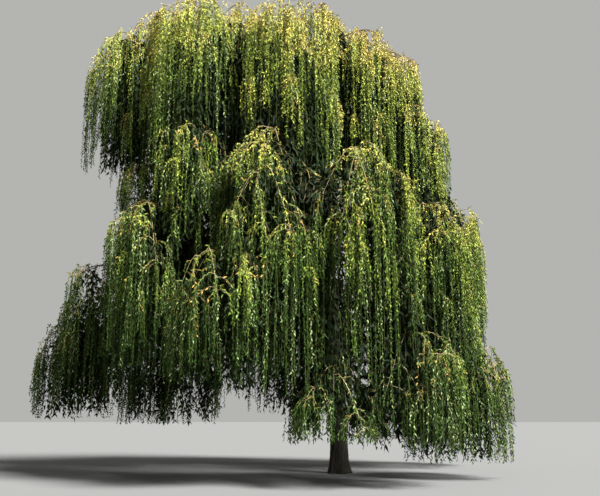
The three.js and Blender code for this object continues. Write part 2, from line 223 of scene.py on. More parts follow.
class Shaft:
    def __init__(self, controls, out, root, tip, sway=0.0):
        self.controls = controls
        self.out = out
        self.side = np.array((-out[1], out[0], 0.0))
        self.root, self.tip = root, tip
        self.length = path_length(bezier(controls, np.linspace(0, 1, LENGTH_SAMPLES)))
        self.sway = sway * self.length

    def point(self, t):
        swing = self.sway * np.sin(2 * math.pi * np.asarray(t, float))[..., None]
        return bezier(self.controls, t) + swing * self.side

    def direction(self, t):
        return bezier_direction(self.controls, t)

    def radius(self, t):
        return self.root + (self.tip - self.root) * np.asarray(t, float)


class Trunk:
    out = None
    length = TRUNK_TOP

    def point(self, t):
        height = np.asarray(t, float) * TRUNK_TOP
        lean = np.maximum(0, (height - LEAN_START) / (TRUNK_TOP - LEAN_START)) ** LEAN_BEND
        return np.stack([TRUNK_LEAN * lean, TRUNK_DEPTH * lean, height], axis=-1)

    def direction(self, t, step=0.01):
        way = self.point(t) - self.point(np.asarray(t, float) - step)
        return way / np.linalg.norm(way, axis=-1, keepdims=True)

    def radius(self, t):
        taper = (1 - np.asarray(t, float)) ** TRUNK_TAPER
        return LEADER_TIP_RADIUS + (TRUNK_RADIUS - LEADER_TIP_RADIUS) * taper


def limb_shaft(parent, height, bearing, reach, tip, root):
    start = parent.point(height / TRUNK_TOP)
    end = placed(bearing, reach, tip)
    out = level_direction(start, end)
    span = math.hypot(end[0] - start[0], end[1] - start[1])
    rise = end[2] - start[2]
    first = start + 0.45 * span * out + 0.22 * rise * UP
    second = start + 0.8 * span * out + 0.65 * rise * UP
    return Shaft((start, first, second, end), out, root, LIMB_TIP_RADIUS, SWAY)


def bough_shaft(parent, mass):
    start = parent.point(mass.at)
    out = level_direction(start, mass.top)
    end = mass.top - 0.8 * mass.spread * out - 0.28 * mass.spread * UP
    span = math.hypot(end[0] - start[0], end[1] - start[1])
    rise = end[2] - start[2]
    first = start + 0.3 * span * out + (0.5 * rise + 0.04 * span) * UP
    second = end - 0.3 * span * out - 0.12 * span * UP
    bough = Shaft((start, first, second, end), out, 0, BOUGH_TIP_RADIUS, SWAY)
    bough.root = BOUGH_ROOT_RADIUS + BOUGH_THICKENING * bough.length
    return bough


shafts = {"trunk": Trunk()}
for name, facts in LIMBS.items():
    shafts[name] = limb_shaft(shafts["trunk"], *facts)
for mass in MASSES:
    if mass.at is not None:
        shafts[mass.name] = bough_shaft(shafts[mass.carrier], mass)
print("shafts:", len(shafts), "wood in all:", round(sum(s.length for s in shafts.values()), 1), "m")

# %% [markdown]
# The rule was written twice, so it is tested: a limb grown here has to end where the limb of the frame ends.

# %% Measure the rule against the frame
worst = 0.0
for name in LIMBS:
    low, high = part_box("limb_" + name)
    worst = max(worst, abs(shafts[name].point(1.0)[2] - high.z))
print("largest difference at a limb's tip:", round(worst * 1000), "mm")

# %% [markdown]
# Bark is the skin of the wood. An old willow's bark is split into long ridges that part and meet again, with
# deep furrows between them. A bump in the material would leave the outline smooth, so the relief is real here:
# each shaft gets a skin of many narrow rings, and a ridged noise that is drawn out along the wood pushes its
# points in and out. A collar swells each limb where it leaves its parent, as growing wood does.

# %% Bark relief
FURROW_SPACING = 0.075
FURROW_STRETCH = 4.5
FURROW_DEPTH = 0.075  # as a share of the radius
DEEPEST_FURROW = 0.017
LUMP_SPACING = 0.6
LUMP_DEPTH = 0.05
COLLAR = 0.55
COLLAR_FADE = 0.9


def ridge_height(around, along_wood, radius, offset):
    """From -1 in a furrow to 1 on a ridge, on a wood of that radius."""
    scale = radius / FURROW_SPACING * 1.6
    spot = Vector((scale * math.cos(around), scale * math.sin(around),
                   along_wood / FURROW_SPACING / FURROW_STRETCH + offset))
    warp = 0.55 * noise.noise(spot * 0.7)
    coarse = 1 - 2.6 * abs(noise.noise(spot + Vector((warp, -warp, warp))))
    fine = noise.noise(Vector((spot.x * 2.3, spot.y * 2.3, spot.z * 3.1)))
    return 0.8 * coarse + 0.25 * fine


def swell(shaft, parent_radius, along_wood, around):
    """How many times thicker than its taper the wood is."""
    if shaft.out is None:
        foot = math.exp(-along_wood / FLARE_FADE)
        return 1 + foot * (FLARE + BUTTRESS_DEPTH * math.cos(BUTTRESSES * around))
    beyond = max(0.0, along_wood - parent_radius) / (COLLAR_FADE * parent_radius)
    return 1 + COLLAR * math.exp(-beyond)


def bark_points(shaft, parent_radius, steps, sides, offset):
    """Rings of points round a shaft, with the relief of the bark."""
    rings = []
    for t in steps:
        middle = shaft.point(t)
        way = shaft.direction(t)
        radius = float(shaft.radius(t))
        along_wood = t * shaft.length
        side = UP if shaft.out is None else shaft.side
        side = np.array((1.0, 0, 0)) if shaft.out is None else side
        rise = UP if shaft.out is None else np.cross(way, side)
        rise = np.array((0, 1.0, 0)) if shaft.out is None else rise
        depth = min(FURROW_DEPTH * radius, DEEPEST_FURROW)
        for k in range(sides):
            around = 2 * math.pi * k / sides
            reach = radius * swell(shaft, parent_radius, along_wood, around)
            lump = noise.noise(Vector((math.cos(around), math.sin(around), along_wood / LUMP_SPACING + offset)))
            reach += depth * ridge_height(around, along_wood, radius, offset) + LUMP_DEPTH * radius * lump
            rings.append(middle + reach * (math.cos(around) * side + math.sin(around) * rise))
    return rings


def ring_faces(count, sides, first=0):
    faces = []
    for i in range(count - 1):
        for k in range(sides):
            a = first + i * sides + k
            b = first + i * sides + (k + 1) % sides
            faces.append((a, b, b + sides, a + sides))
    faces.append(tuple(first + k for k in reversed(range(sides))))
    faces.append(tuple(first + (count - 1) * sides + k for k in range(sides)))
    return faces


def bark_mesh(name, wood):
    """One mesh from (shaft, parent radius, steps, sides) of several shafts."""
    points, faces = [], []
    for offset, (shaft, parent_radius, steps, sides) in enumerate(wood):
        faces += ring_faces(len(steps), sides, len(points))
        points += bark_points(shaft, parent_radius, steps, sides, 7.3 * offset)
    mesh = bpy.data.meshes.new(name)
    mesh.from_pydata([tuple(p) for p in points], [], faces)
    mesh.shade_smooth()
    return mesh


def triangles(mesh):
    return sum(len(face.vertices) - 2 for face in mesh.polygons)


# %% [markdown]
# The trunk shows from a few steps away, so its rings are 25 mm apart as far as the lowest limbs and wider above,
# where foliage hides it. The limbs and boughs get fewer sides, because their furrows are finer and shallow.

# %% Trunk, limbs and boughs
TRUNK_SIDES = 96
LIMB_SIDES = 30
BOUGH_SIDES = 14
CLOSE_RINGS = 0.028
WIDE_RINGS = 0.075
CLOSE_UP_TO = 5.0


def spaced_steps(length, spacing, start=0.0):
    count = max(2, round((length - start) / spacing))
    return np.linspace(start, length, count + 1) / length


def make_bark():
    trunk = shafts["trunk"]
    low_steps = np.linspace(0, CLOSE_UP_TO, round(CLOSE_UP_TO / CLOSE_RINGS)) / TRUNK_TOP
    high_steps = spaced_steps(TRUNK_TOP, WIDE_RINGS, CLOSE_UP_TO)[1:]
    trunk_steps = np.concatenate([low_steps, high_steps])
    made = {"trunk_bark": bark_mesh("trunk_bark", [(trunk, 0, trunk_steps, TRUNK_SIDES)])}
    limbs = []
    for name, (height, *_) in LIMBS.items():
        shaft = shafts[name]
        limbs.append((shaft, float(trunk.radius(height / TRUNK_TOP)),
                      spaced_steps(shaft.length, 2 * CLOSE_RINGS), LIMB_SIDES))
    made["limb_bark"] = bark_mesh("limb_bark", limbs)
    boughs = []
    for mass in MASSES:
        if mass.at is None:
            continue
        shaft = shafts[mass.name]
        parent_radius = float(shafts[mass.carrier].radius(mass.at))
        boughs.append((shaft, parent_radius, spaced_steps(shaft.length, WIDE_RINGS), BOUGH_SIDES))
    made["bough_bark"] = bark_mesh("bough_bark", boughs)
    return made


bark_meshes = make_bark()
for name, mesh in bark_meshes.items():
    print(name, triangles(mesh), "triangles")

# %% [markdown]
# A mass is a bell. Its stem goes on from the tip that carries it, over the crest and down on the far side, and
# twigs fan out from it to both sides as far as the bell's rim. The further out a twig ends, the lower, so that
# the crest is a dome. This is the frame's own rule, with more twigs. Each twig then bears side twigs by the same
# rule at a smaller size. A twig that would leave the space of its mass is skipped.

# %% Stems, twigs and side twigs
SEED = 29
STEM_END_RADIUS = 0.010
TWIGS_PER_METRE = 5.8  # of the half width of the bell
FIRST_TWIG = 0.04
LAST_TWIG = 0.97
TWIG_ANGLE = 118
TWIG_CLOSING = 75
TWIG_STRAY = 24
TWIG_REACH = (0.45, 1.0)  # as a share of the way to the rim
DOME = 0.5
DOME_STRAY = 1.05
TWIG_RISE = (0.18, 0.42)  # of the length
TWIG_ROOT_RADIUS = 0.008
TWIG_END_RADIUS = 0.0045
SPACE_RADIUS = 1.02
SPACE_ABOVE = 0.4
SIDE_TWIGS = 9
FIRST_SIDE_TWIG = 0.6
SIDE_ANGLE = 75
SIDE_STRAY = 130
SIDE_LENGTHS = (0.2, 0.7)
SIDE_ROOT_RADIUS = 0.0055
SIDE_END_RADIUS = 0.0035

random = np.random.default_rng(SEED)


def between(low, high):
    return low + (high - low) * random.random()


def stem_shaft(carrier, mass):
    tangent = carrier.direction(1.0)
    start = carrier.point(1.0) + GAP * tangent
    out = level_direction(start, mass.top) if carrier.out is None else carrier.out
    end = mass.top + 0.75 * mass.spread * out - 0.5 * mass.spread * UP
    leaving = start + 0.35 * np.linalg.norm(mass.top - start) * tangent
    over = (8 * mass.top - start - end) / 3 - leaving
    return Shaft((start, leaving, over, end), out, float(carrier.radius(1.0)), STEM_END_RADIUS)


def rim_distance(mass, root, out):
    """How far it is from root, along the level direction out, to the rim of the bell."""
    offset = root - mass.top
    onward = float(np.dot(offset[:2], out[:2]))
    inside = mass.spread**2 - float(np.dot(offset[:2], offset[:2]))
    return math.sqrt(max(0.0, onward**2 + inside)) - onward


def dome_height(mass, point):
    across = math.hypot(point[0] - mass.top[0], point[1] - mass.top[1]) / mass.spread
    return mass.crest - DOME * mass.spread * across**2


def arching_shaft(root, out, length, end_height, rise, radii):
    end = root + length * out
    end[2] = end_height
    first = root + 0.35 * length * out + rise * length * UP
    second = end - 0.2 * length * out + rise * length * UP
    return Shaft((root, first, second, end), out, *radii)


def in_space(point, mass, over=0.0):
    level = math.hypot(point[0] - mass.top[0], point[1] - mass.top[1])
    high = mass.crest + SPACE_ABOVE * mass.spread
    return level < SPACE_RADIUS * mass.spread + over and mass.hem <= point[2] < high


def grow_twigs(mass, stem):
    twigs = []
    count = round(TWIGS_PER_METRE * mass.spread)
    for i in range(count):
        t = FIRST_TWIG + (LAST_TWIG - FIRST_TWIG) * i / (count - 1)
        hand = 1 if i % 2 else -1
        turn = hand * math.radians(TWIG_ANGLE - TWIG_CLOSING * t + TWIG_STRAY * (random.random() - 0.5))
        root = stem.point(t)
        out = turned(stem.out, turn)
        length = between(*TWIG_REACH) * rim_distance(mass, root, out)
        end_height = dome_height(mass, root + length * out) - DOME_STRAY * mass.spread * random.random()
        radii = (TWIG_ROOT_RADIUS, TWIG_END_RADIUS)
        twig = arching_shaft(root, out, length, end_height, between(*TWIG_RISE), radii)
        if in_space(twig.point(0.5), mass) and in_space(twig.point(1.0), mass):
            twigs.append(twig)
    return twigs


def grow_side_twigs(mass, twig):
    found = []
    for i in range(SIDE_TWIGS):
        t = FIRST_SIDE_TWIG + (1 - FIRST_SIDE_TWIG) * (i + random.random()) / SIDE_TWIGS
        hand = 1 if i % 2 else -1
        turn = hand * math.radians(SIDE_ANGLE + SIDE_STRAY * (random.random() - 0.5))
        length = between(*SIDE_LENGTHS)
        root = twig.point(t)
        radii = (SIDE_ROOT_RADIUS, SIDE_END_RADIUS)
        end_height = root[2] - between(0.3, 0.9) * length
        side = arching_shaft(root, turned(twig.out, turn), length, end_height, between(*TWIG_RISE), radii)
        if in_space(side.point(1.0), mass):
            found.append(side)
    return found


# %% [markdown]
# How deep a place lies in the foliage decides what grows there: light reaches the outer metre, where the leaves
# are, and the inner crown is nearly bare. That depth is measured. Level rays go out in twelve directions and one
# goes straight up, the length of each ray inside the bells of all masses is summed, and the shortest way out is
# the depth.

# %% Depth inside the foliage
RAYS = 12
MASS_TOPS = np.array([mass.top for mass in MASSES])
MASS_SPREADS = np.array([mass.spread for mass in MASSES])
MASS_HEMS = np.array([mass.hem for mass in MASSES])


def depths_inside(points):
    """For each point the shortest way out of the foliage, in metres."""
    offset = MASS_TOPS[None, :, :2] - points[:, None, :2]
    apart = np.linalg.norm(offset, axis=2)
    roof = MASS_TOPS[:, 2] - DOME * apart**2 / MASS_SPREADS
    above = np.where(apart < MASS_SPREADS, np.minimum(roof - points[:, 2:], roof - MASS_HEMS), 0.0)
    shortest = np.maximum(above, 0.0).sum(axis=1)
    rim_roof = MASS_TOPS[:, 2] - 0.5 * DOME * MASS_SPREADS
    level_with = (points[:, 2:] > MASS_HEMS) & (points[:, 2:] < rim_roof)
    for turn in np.arange(RAYS) * 2 * math.pi / RAYS:
        onward = offset[:, :, 0] * math.cos(turn) + offset[:, :, 1] * math.sin(turn)
        chord = np.sqrt(np.maximum(0.0, MASS_SPREADS**2 - (apart**2 - onward**2)))
        inside = np.maximum(0.0, onward + chord) - np.maximum(0.0, onward - chord)
        shortest = np.minimum(shortest, np.where(level_with, inside, 0.0).sum(axis=1))
    return shortest


# %% [markdown]
# A hanging shoot leaves its twig, arches over and then falls straight towards the hem of its mass. The tips are
# ragged, and the shoots of one twig hang together as a tress, with a darker gap beside it. Side shoots spring
# from a long shoot all the way down, each bending out a little and hanging beside it, so that a curtain is
# shaggy and not combed. No two long shoots of a mass stand closer than a hand's breadth. A shoot that would
# leave the space or touch a limb is skipped, and in the dark of the inner crown only a few are left.

# %% Hanging shoots
SHOOT_STEPS = 5
SHOOT_ROOT_RADIUS = 0.006
SHOOT_END_RADIUS = 0.003
SHOOT_REACH = (0.08, 0.26)
SHOOT_SPACING = 0.075
FORK_STEPS = 2
FORK_SPACING = 1.0
FORK_DROP = (0.45, 1.15)
FORK_REACH = (0.06, 0.28)
SHORTEST_FORK = 0.3
FORK_DEPTH = 0.6  # no side shoots deeper inside than this
BUNCH_SHARE = 0.35
BUNCH_SHOOTS = 6
BUNCH_REACH = (0.12, 0.42)
BUNCH_DROP = (0.45, 1.5)
BUNCH_DEPTH = 0.4
BUNCH_OVER = 0.08  # how far it may stand out of the bell
DARK_DEPTH = 0.9
LEFT_IN_THE_DARK = 0.75
CLEAR_OF_WOOD = 0.05
WOOD_SAMPLES = 60


def sample_wood():
    tree = kdtree.KDTree(WOOD_SAMPLES * len(shafts))
    radii = []
    for shaft in shafts.values():
        for t in np.linspace(0, 1, WOOD_SAMPLES):
            tree.insert(Vector(shaft.point(t)), len(radii))
            radii.append(float(shaft.radius(t)))
    tree.balance()
    return tree, radii


wood_tree, wood_radii = sample_wood()


def touches_wood(points):
    for point in points:
        _, index, distance = wood_tree.find(Vector(point))
        if distance < wood_radii[index] + CLEAR_OF_WOOD:
            return True
    return False


def depth_inside(point):
    return depths_inside(point[None])[0]


def shoot_line(root, way, reach, foot, steps=SHOOT_STEPS):
    """Points of a shoot that leaves root along way, arches over and hangs to the height foot."""
    drop = root[2] - foot
    level = np.array((way[0], way[1], 0.0))
    hang = root + reach * level
    drift = np.array((random.normal(0, 0.05), random.normal(0, 0.05), 0.0)) * drop / 3
    first = root + 0.8 * reach * way
    second = hang - 0.35 * drop * UP
    end = hang + drift - drop * UP
    t = np.linspace(0, 1, steps + 1) ** 1.35
    points = bezier((root, first, second, end), t)
    swing = 0.035 * np.sin(2 * math.pi * (t * drop / 1.7 + random.random())) * t
    side = np.array((-way[1], way[0], 0.0))
    return points + swing[:, None] * side


def hang_shoot(mass, holder, t, length_share, hung):
    """A shoot from a point of a twig, or None if there is no room for it."""
    root = holder.point(t)
    way = turned(holder.direction(t), math.radians(between(-55, 55)))
    way = unit(way * np.array((1.0, 1.0, 0.6)) + np.array((0, 0, 0.15)))
    foot = root[2] - (root[2] - mass.hem) * length_share
    line = shoot_line(root, way, between(*SHOOT_REACH), foot)
    if not in_space(line[-1], mass) or touches_wood(line[1:]):
        return None
    place = line[len(line) // 2][:2]
    if any(abs(place[0] - x) + abs(place[1] - y) < SHOOT_SPACING for x, y in hung):
        return None
    if depth_inside(line[len(line) // 2]) > DARK_DEPTH and random.random() > LEFT_IN_THE_DARK:
        return None
    hung.append(tuple(place))
    return line


def fork_lines(mass, line):
    """The side shoots of a hanging shoot."""
    forks = []
    for _ in range(round(path_length(line) / FORK_SPACING)):
        place = between(0.1, 0.85) * (len(line) - 1)
        above = line[int(place)]
        root = above + (place % 1) * (line[int(place) + 1] - above)
        foot = max(mass.hem, root[2] - between(*FORK_DROP))
        if root[2] - foot < SHORTEST_FORK or depth_inside(root) > FORK_DEPTH:
            continue
        away = turned(level_direction(mass.top, root), between(-1.4, 1.4))
        fork = shoot_line(root, unit(away + 0.35 * UP), between(*FORK_REACH), foot, FORK_STEPS)
        if in_space(fork[-1], mass) and not touches_wood(fork[1:]):
            forks.append(fork)
    return forks


def bunch_lines(mass, line):
    """Young shoots that spring from one place of a long shoot on the outside and bend over."""
    root = line[1 + int(random.random() * (len(line) - 2))]
    if root[2] - mass.hem < BUNCH_DROP[1] or depth_inside(root) > BUNCH_DEPTH:
        return []
    bunch = []
    for _ in range(BUNCH_SHOOTS):
        away = turned(level_direction(mass.top, root), between(-1.3, 1.3))
        way = unit(away + between(0.4, 1.2) * UP)
        young = shoot_line(root, way, between(*BUNCH_REACH), root[2] - between(*BUNCH_DROP), 4)
        if in_space(young[-1], mass, BUNCH_OVER) and not touches_wood(young[1:]):
            bunch.append(young)
    return bunch


# %% [markdown]
# Colours have a place on this tree: the crests of the masses and the top of the crown are yellow in the light,
# and the curtains below are deeper green. This is partly the leaves' own colour and partly painted light and
# shade. A leaf's colour is dealt out by spray: each shoot is cut into sprays, and each spray gets one of a few
# plain colours, by its place and by chance. A spray deep inside the foliage is in the shade, and its leaves are
# broader, as leaves in the shade are. Their dark colour is painted shade.

# %% Colours of the leaves, from deep to golden
LEAF_COLOURS = {
    "deep": (0.017, 0.039, 0.005),
    "green": (0.056, 0.102, 0.012),
    "fresh": (0.155, 0.203, 0.024),
    "sunlit": (0.325, 0.355, 0.058),
    "golden": (0.480, 0.410, 0.100),
    "amber": (0.360, 0.240, 0.065),
    "silver": (0.190, 0.245, 0.100),
    # painted shade: very dark leaves for sprays deep inside the foliage
    "shade": (0.010, 0.020, 0.004),
    "dark": (0.006, 0.011, 0.003),
}
SCORE_LIMITS = [("deep", 0.22), ("green", 0.42), ("fresh", 0.62), ("sunlit", 0.86), ("golden", 1.20)]
COLOURS_IN_SPRAY = 2
SILVER_SHARE = 0.14
SHADE_DEPTH = 0.42
DARK_DEPTH_OF_LEAVES = 1.25
DARK_ABOVE_HEM = 1.1
AIRY_ABOVE = 11.5  # the crown is more open above this height, so fewer sprays get painted shade and all get lighter colours, as painted light
AIRY_OVER = 2.0  # and fully so this much higher
CREST_FADE = 0.6
FULL_CREST_LIGHT = 8.0  # crests lower than this get duller colours, as painted shade
PATCH_SIZE = np.array((0.7, 0.7, 1.6))
PATCH_STRENGTH = 0.3
AMBER_BELOW = 0.45
AMBER_SHARE = 0.12
HEM_LIGHT = 0.5  # tips that hang as near to the hem as this get deep green, not the painted shade colours
CROWN_TOP = 16.3
# the side the light comes from, in plan: sprays towards it get lighter colours, as painted light
BRIGHT_SIDE = unit(np.array((0.8, -0.4, 0.0)))


def spray_colour(point, above_hem, below, depth):
    """below is how far the spray hangs under the crest of its twig."""
    airy = min(1.0, max(0.0, (point[2] - AIRY_ABOVE) / AIRY_OVER))
    # Deep inside the foliage a spray gets painted shade: the shade or dark colour, or deep green near the hem.
    if depth > SHADE_DEPTH * (1 + 2 * airy) * between(0.8, 1.2) and above_hem < HEM_LIGHT:
        return "deep"
    if depth > SHADE_DEPTH * (1 + 2 * airy) * between(0.8, 1.2):
        return "dark" if depth > DARK_DEPTH_OF_LEAVES and above_hem > DARK_ABOVE_HEM else "shade"
    if random.random() < SILVER_SHARE:
        return "silver"
    # The score is partly painted light: it rises with height, at the top of the crown and on the side towards
    # the light, and falls with depth inside, as painted shade. Near a crest it rises partly for the young
    # leaves' own yellow and partly as painted light. The patchy noise and chance are the leaves' own mixed
    # tones.
    height = point[2] / CROWN_TOP
    side = float(np.dot(point, BRIGHT_SIDE)) / 9.0
    crest_light = 0.4 + 0.6 * min(1.0, point[2] / FULL_CREST_LIGHT)
    score = -0.19 + 1.04 * height + 0.08 * airy + 0.48 * crest_light * math.exp(-below / CREST_FADE)
    patch = noise.noise(Vector(point / PATCH_SIZE))
    score += 0.32 * side - 0.20 * depth + PATCH_STRENGTH * patch + between(-0.16, 0.16)
    if below < AMBER_BELOW and random.random() < AMBER_SHARE * crest_light:
        return "amber"
    return next((name for name, limit in SCORE_LIMITS if score < limit), "amber")


# %% [markdown]
# Now the whole crown is grown, mass by mass. What grows is kept as lines of points: the wood of stems, twigs and
# shoots for one step, and the leafy sprays, sorted by colour, for another.

# %% Grow the crown
SHOOTS_ON_SIDE_TWIG = 2
SHOOTS_ON_TWIG = 4
CREST_SHOOTS = 4
CREST_SHOOTS_ON_SIDE_TWIG = 0.7  # on average
BARE_HEADS = 0.5  # share of the shoots with no leaves before their bend
HEAD_STEPS = 2  # steps of a shoot with golden bark; the rest is green
FORK_CREST = 0.4  # how much of its depth below the crest a side shoot keeps in its colour
stem_lines = []
twig_lines = []
shoot_heads = []
shoot_ends = []
sprays = []


def add_shaft_line(lines, shaft, steps):
    t = np.linspace(0, 1, steps + 1)
    lines.append((shaft.point(t), shaft.radius(t)))


def add_spray(mass, line, crest):
    middle = 0.5 * (line[0] + line[-1])
    sprays.append((line, middle - mass.top, middle[2] - mass.hem, max(0.0, crest - middle[2])))


def add_shoot(mass, line, crest, head=HEAD_STEPS):
    radii = np.linspace(SHOOT_ROOT_RADIUS, SHOOT_END_RADIUS, len(line))
    if head:
        shoot_heads.append((line[:head + 1], radii[:head + 1]))
    shoot_ends.append((line[head:], radii[head:]))
    leafy_from = 1 if random.random() < BARE_HEADS else 0
    for first in range(leafy_from, len(line) - 1):
        add_spray(mass, line[first: first + 2], crest)


def add_leafy_twig(mass, shaft, first, last):
    line = shaft.point(np.linspace(first, last, 5))
    add_spray(mass, line, line[:, 2].max())


def short_shoot(mass, holder, t):
    """A short shoot on top of a twig, which springs up and bends over."""
    root = holder.point(t)
    way = turned(holder.out, between(-1.3, 1.3))
    line = shoot_line(root, unit(way + 0.9 * UP), between(0.15, 0.35), root[2] - between(0.15, 0.5), 4)
    if in_space(line[-1], mass):
        add_shoot(mass, line[::2], root[2] + 0.2, head=1)


def hang_tress(mass, holder, count, crest, hung):
    tress = between(0.78, 1.0)
    for i in range(count):
        t = 1 - i / count * between(0.7, 1.0)
        line = hang_shoot(mass, holder, t, min(1.0, tress * between(0.85, 1.12)), hung)
        if line is None:
            continue
        add_shoot(mass, line, crest)
        for fork in fork_lines(mass, line):
            top = fork[0][2]
            add_shoot(mass, fork, top + FORK_CREST * (crest - top), head=0)
        if random.random() < BUNCH_SHARE:
            for young in bunch_lines(mass, line):
                add_shoot(mass, young, young[:, 2].max(), head=1)


def grow_mass(mass):
    carrier = shafts[mass.name if mass.at is not None else mass.carrier]
    stem = stem_shaft(carrier, mass)
    add_shaft_line(stem_lines, stem, 14)
    add_leafy_twig(mass, stem, 0.35, 1.0)
    hung = []
    hang_tress(mass, stem, SHOOTS_ON_TWIG, mass.crest, hung)
    for twig in grow_twigs(mass, stem):
        crest = twig.point(np.linspace(0.3, 1, 8))[:, 2].max()
        add_shaft_line(twig_lines, twig, 7)
        add_leafy_twig(mass, twig, 0.35, 1.0)
        hang_tress(mass, twig, SHOOTS_ON_TWIG, crest, hung)
        for side in grow_side_twigs(mass, twig):
            add_shaft_line(twig_lines, side, 4)
            add_leafy_twig(mass, side, 0.2, 1.0)
            hang_tress(mass, side, SHOOTS_ON_SIDE_TWIG, crest, hung)
            if random.random() < CREST_SHOOTS_ON_SIDE_TWIG:
                short_shoot(mass, side, between(0.2, 1.0))
        for i in range(CREST_SHOOTS):
            short_shoot(mass, twig, (i + random.random()) / CREST_SHOOTS)


for mass in MASSES:
    grow_mass(mass)
print("twigs:", len(twig_lines), "shoots:", len(shoot_ends))

# %% Deal out the colours
spray_lines = {name: [] for name in LEAF_COLOURS}
depths = depths_inside(np.array([line[len(line) // 2] for line, *_ in sprays]))
for (line, outside, above_hem, below), depth in zip(sprays, depths):
    for _ in range(COLOURS_IN_SPRAY):
        colour = spray_colour(line[len(line) // 2], above_hem, below, depth)
        spray_lines[colour].append((line, outside))
print("depth of the sprays:", np.percentile(depths, (10, 50, 90)).round(2))
for name, lines in spray_lines.items():
    print("sprays,", name, len(lines), round(sum(path_length(line) for line, _ in lines)), "m")

# %% [markdown]
# The grown lines become meshes by Geometry Nodes. One tree turns lines into thin rods: it makes curves of the
# edges, and sweeps a three-sided section along them, as thick as the radius that each point carries. Another
# tree sets leaves along the lines. Both are small rules that repeat thousands of times, which is what Geometry
# Nodes are for. The instances are realized, so that what is left is a plain mesh.

# %% Helpers for the node trees
def new_tree(name, inputs):
    """A tree with geometry in and out, and inputs given as (name, socket type, default)."""
    tree = bpy.data.node_groups.new(name, "GeometryNodeTree")
    tree.interface.new_socket("Geometry", in_out="INPUT", socket_type="NodeSocketGeometry")
    tree.interface.new_socket("Geometry", in_out="OUTPUT", socket_type="NodeSocketGeometry")
    for label, kind, value in inputs:
        socket = tree.interface.new_socket(label, in_out="INPUT", socket_type=kind)
        if value is not None:
            socket.default_value = value
    return tree


def add_node(tree, kind, links=(), **settings):
    """A node with its settings, and its inputs linked or set, as (input, socket or value)."""
    node = tree.nodes.new(kind)
    for name, value in settings.items():
        setattr(node, name, value)
    for key, value in dict(links).items():
        if isinstance(value, bpy.types.NodeSocket):
            tree.links.new(value, node.inputs[key])
        else:
            node.inputs[key].default_value = value
    return node


def maths(tree, operation, *values):
    """The output of a Math node."""
    return add_node(tree, "ShaderNodeMath", enumerate(values), operation=operation).outputs[0]


def vector_maths(tree, operation, *values):
    """The output of a Vector Math node whose inputs are all vectors."""
    return add_node(tree, "ShaderNodeVectorMath", enumerate(values), operation=operation).outputs[0]


def line_mesh(name, lines, label, kind, width):
    """Lines of points as a mesh of edges, whose points carry a named value each."""
    points = np.concatenate([line for line, _ in lines])
    shape = (lambda line: (len(line), width)) if width > 1 else len
    values = np.concatenate([np.broadcast_to(value, shape(line)) for line, value in lines])
    edges = []
    first = 0
    for line, _ in lines:
        edges += [(first + i, first + i + 1) for i in range(len(line) - 1)]
        first += len(line)
    mesh = bpy.data.meshes.new(name)
    mesh.from_pydata(points.tolist(), edges, [])
    attribute = mesh.attributes.new(label, kind, "POINT")
    attribute.data.foreach_set("vector" if width > 1 else "value", values.astype(np.float32).ravel())
    return mesh


def run_tree(name, lines, tree, values):
    """An object whose mesh is what the tree makes of a mesh of lines."""
    piece = bpy.data.objects.new(name, lines)
    bpy.context.scene.collection.objects.link(piece)
    growth = piece.modifiers.new("growth", "NODES")
    growth.node_group = tree
    for socket in tree.interface.items_tree:
        if socket.name in values:
            growth[socket.identifier] = values[socket.name]
    evaluated = piece.evaluated_get(bpy.context.evaluated_depsgraph_get())
    mesh = bpy.data.meshes.new_from_object(evaluated)
    piece.modifiers.remove(growth)
    piece.data = mesh
    mesh.name = name
    return piece


# %% The tree that makes rods
def rod_tree():
    tree = new_tree("rods", [("Sides", "NodeSocketInt", 3), ("Material", "NodeSocketMaterial", None)])
    given = add_node(tree, "NodeGroupInput").outputs
    curves = add_node(tree, "GeometryNodeMeshToCurve", {"Mesh": given["Geometry"]})
    section = add_node(tree, "GeometryNodeCurvePrimitiveCircle", {"Resolution": given["Sides"], "Radius": 1.0})
    thickness = add_node(tree, "GeometryNodeInputNamedAttribute", {"Name": "thickness"})
    rods = add_node(tree, "GeometryNodeCurveToMesh", {
        "Curve": curves.outputs[0],
        "Profile Curve": section.outputs[0],
        "Scale": thickness.outputs[0],
        "Fill Caps": True,
    })
    smooth = add_node(tree, "GeometryNodeSetShadeSmooth", {"Geometry": rods.outputs[0]})
    real = add_node(tree, "GeometryNodeRealizeInstances", {"Geometry": smooth.outputs[0]})
    painted = add_node(tree, "GeometryNodeSetMaterial",
                       {"Geometry": real.outputs[0], "Material": given["Material"]})
    add_node(tree, "NodeGroupOutput", {"Geometry": painted.outputs[0]})
    return tree


# %% [markdown]
# A willow leaf is a narrow lance, broadest a third of the way up, with its tip bent down. Four corners and two
# triangles give that outline. Real leaves are about 120 by 15 mm, and a tree this size has some hundred thousand
# more of them than can be kept, so these are about 100 mm long and about twice as broad.
# Along a shoot the leaves stand in a spiral: each is turned by the golden angle against the one before. A leaf
# points along the shoot and away from it, and droops. Its face looks away from the shoot.

# %% The tree that sets leaves
GOLDEN_ANGLE = math.radians(137.508)
LEAF_WIDEST = 0.32


# corners as (across, out of the flat, along), and faces
LANCE = (
    [(0, -0.04, 0), (-0.5, 0.04, LEAF_WIDEST), (0.5, 0.04, LEAF_WIDEST), (0, -0.06, 1)],
    [(0, 3, 1), (0, 2, 3)],
)


def leaf_pattern():
    """One leaf along +Z, one unit long and broad."""
    corners, faces = LANCE
    mesh = bpy.data.meshes.new("leaf")
    mesh.from_pydata(corners, [], faces)
    return bpy.data.objects.new("leaf", mesh)


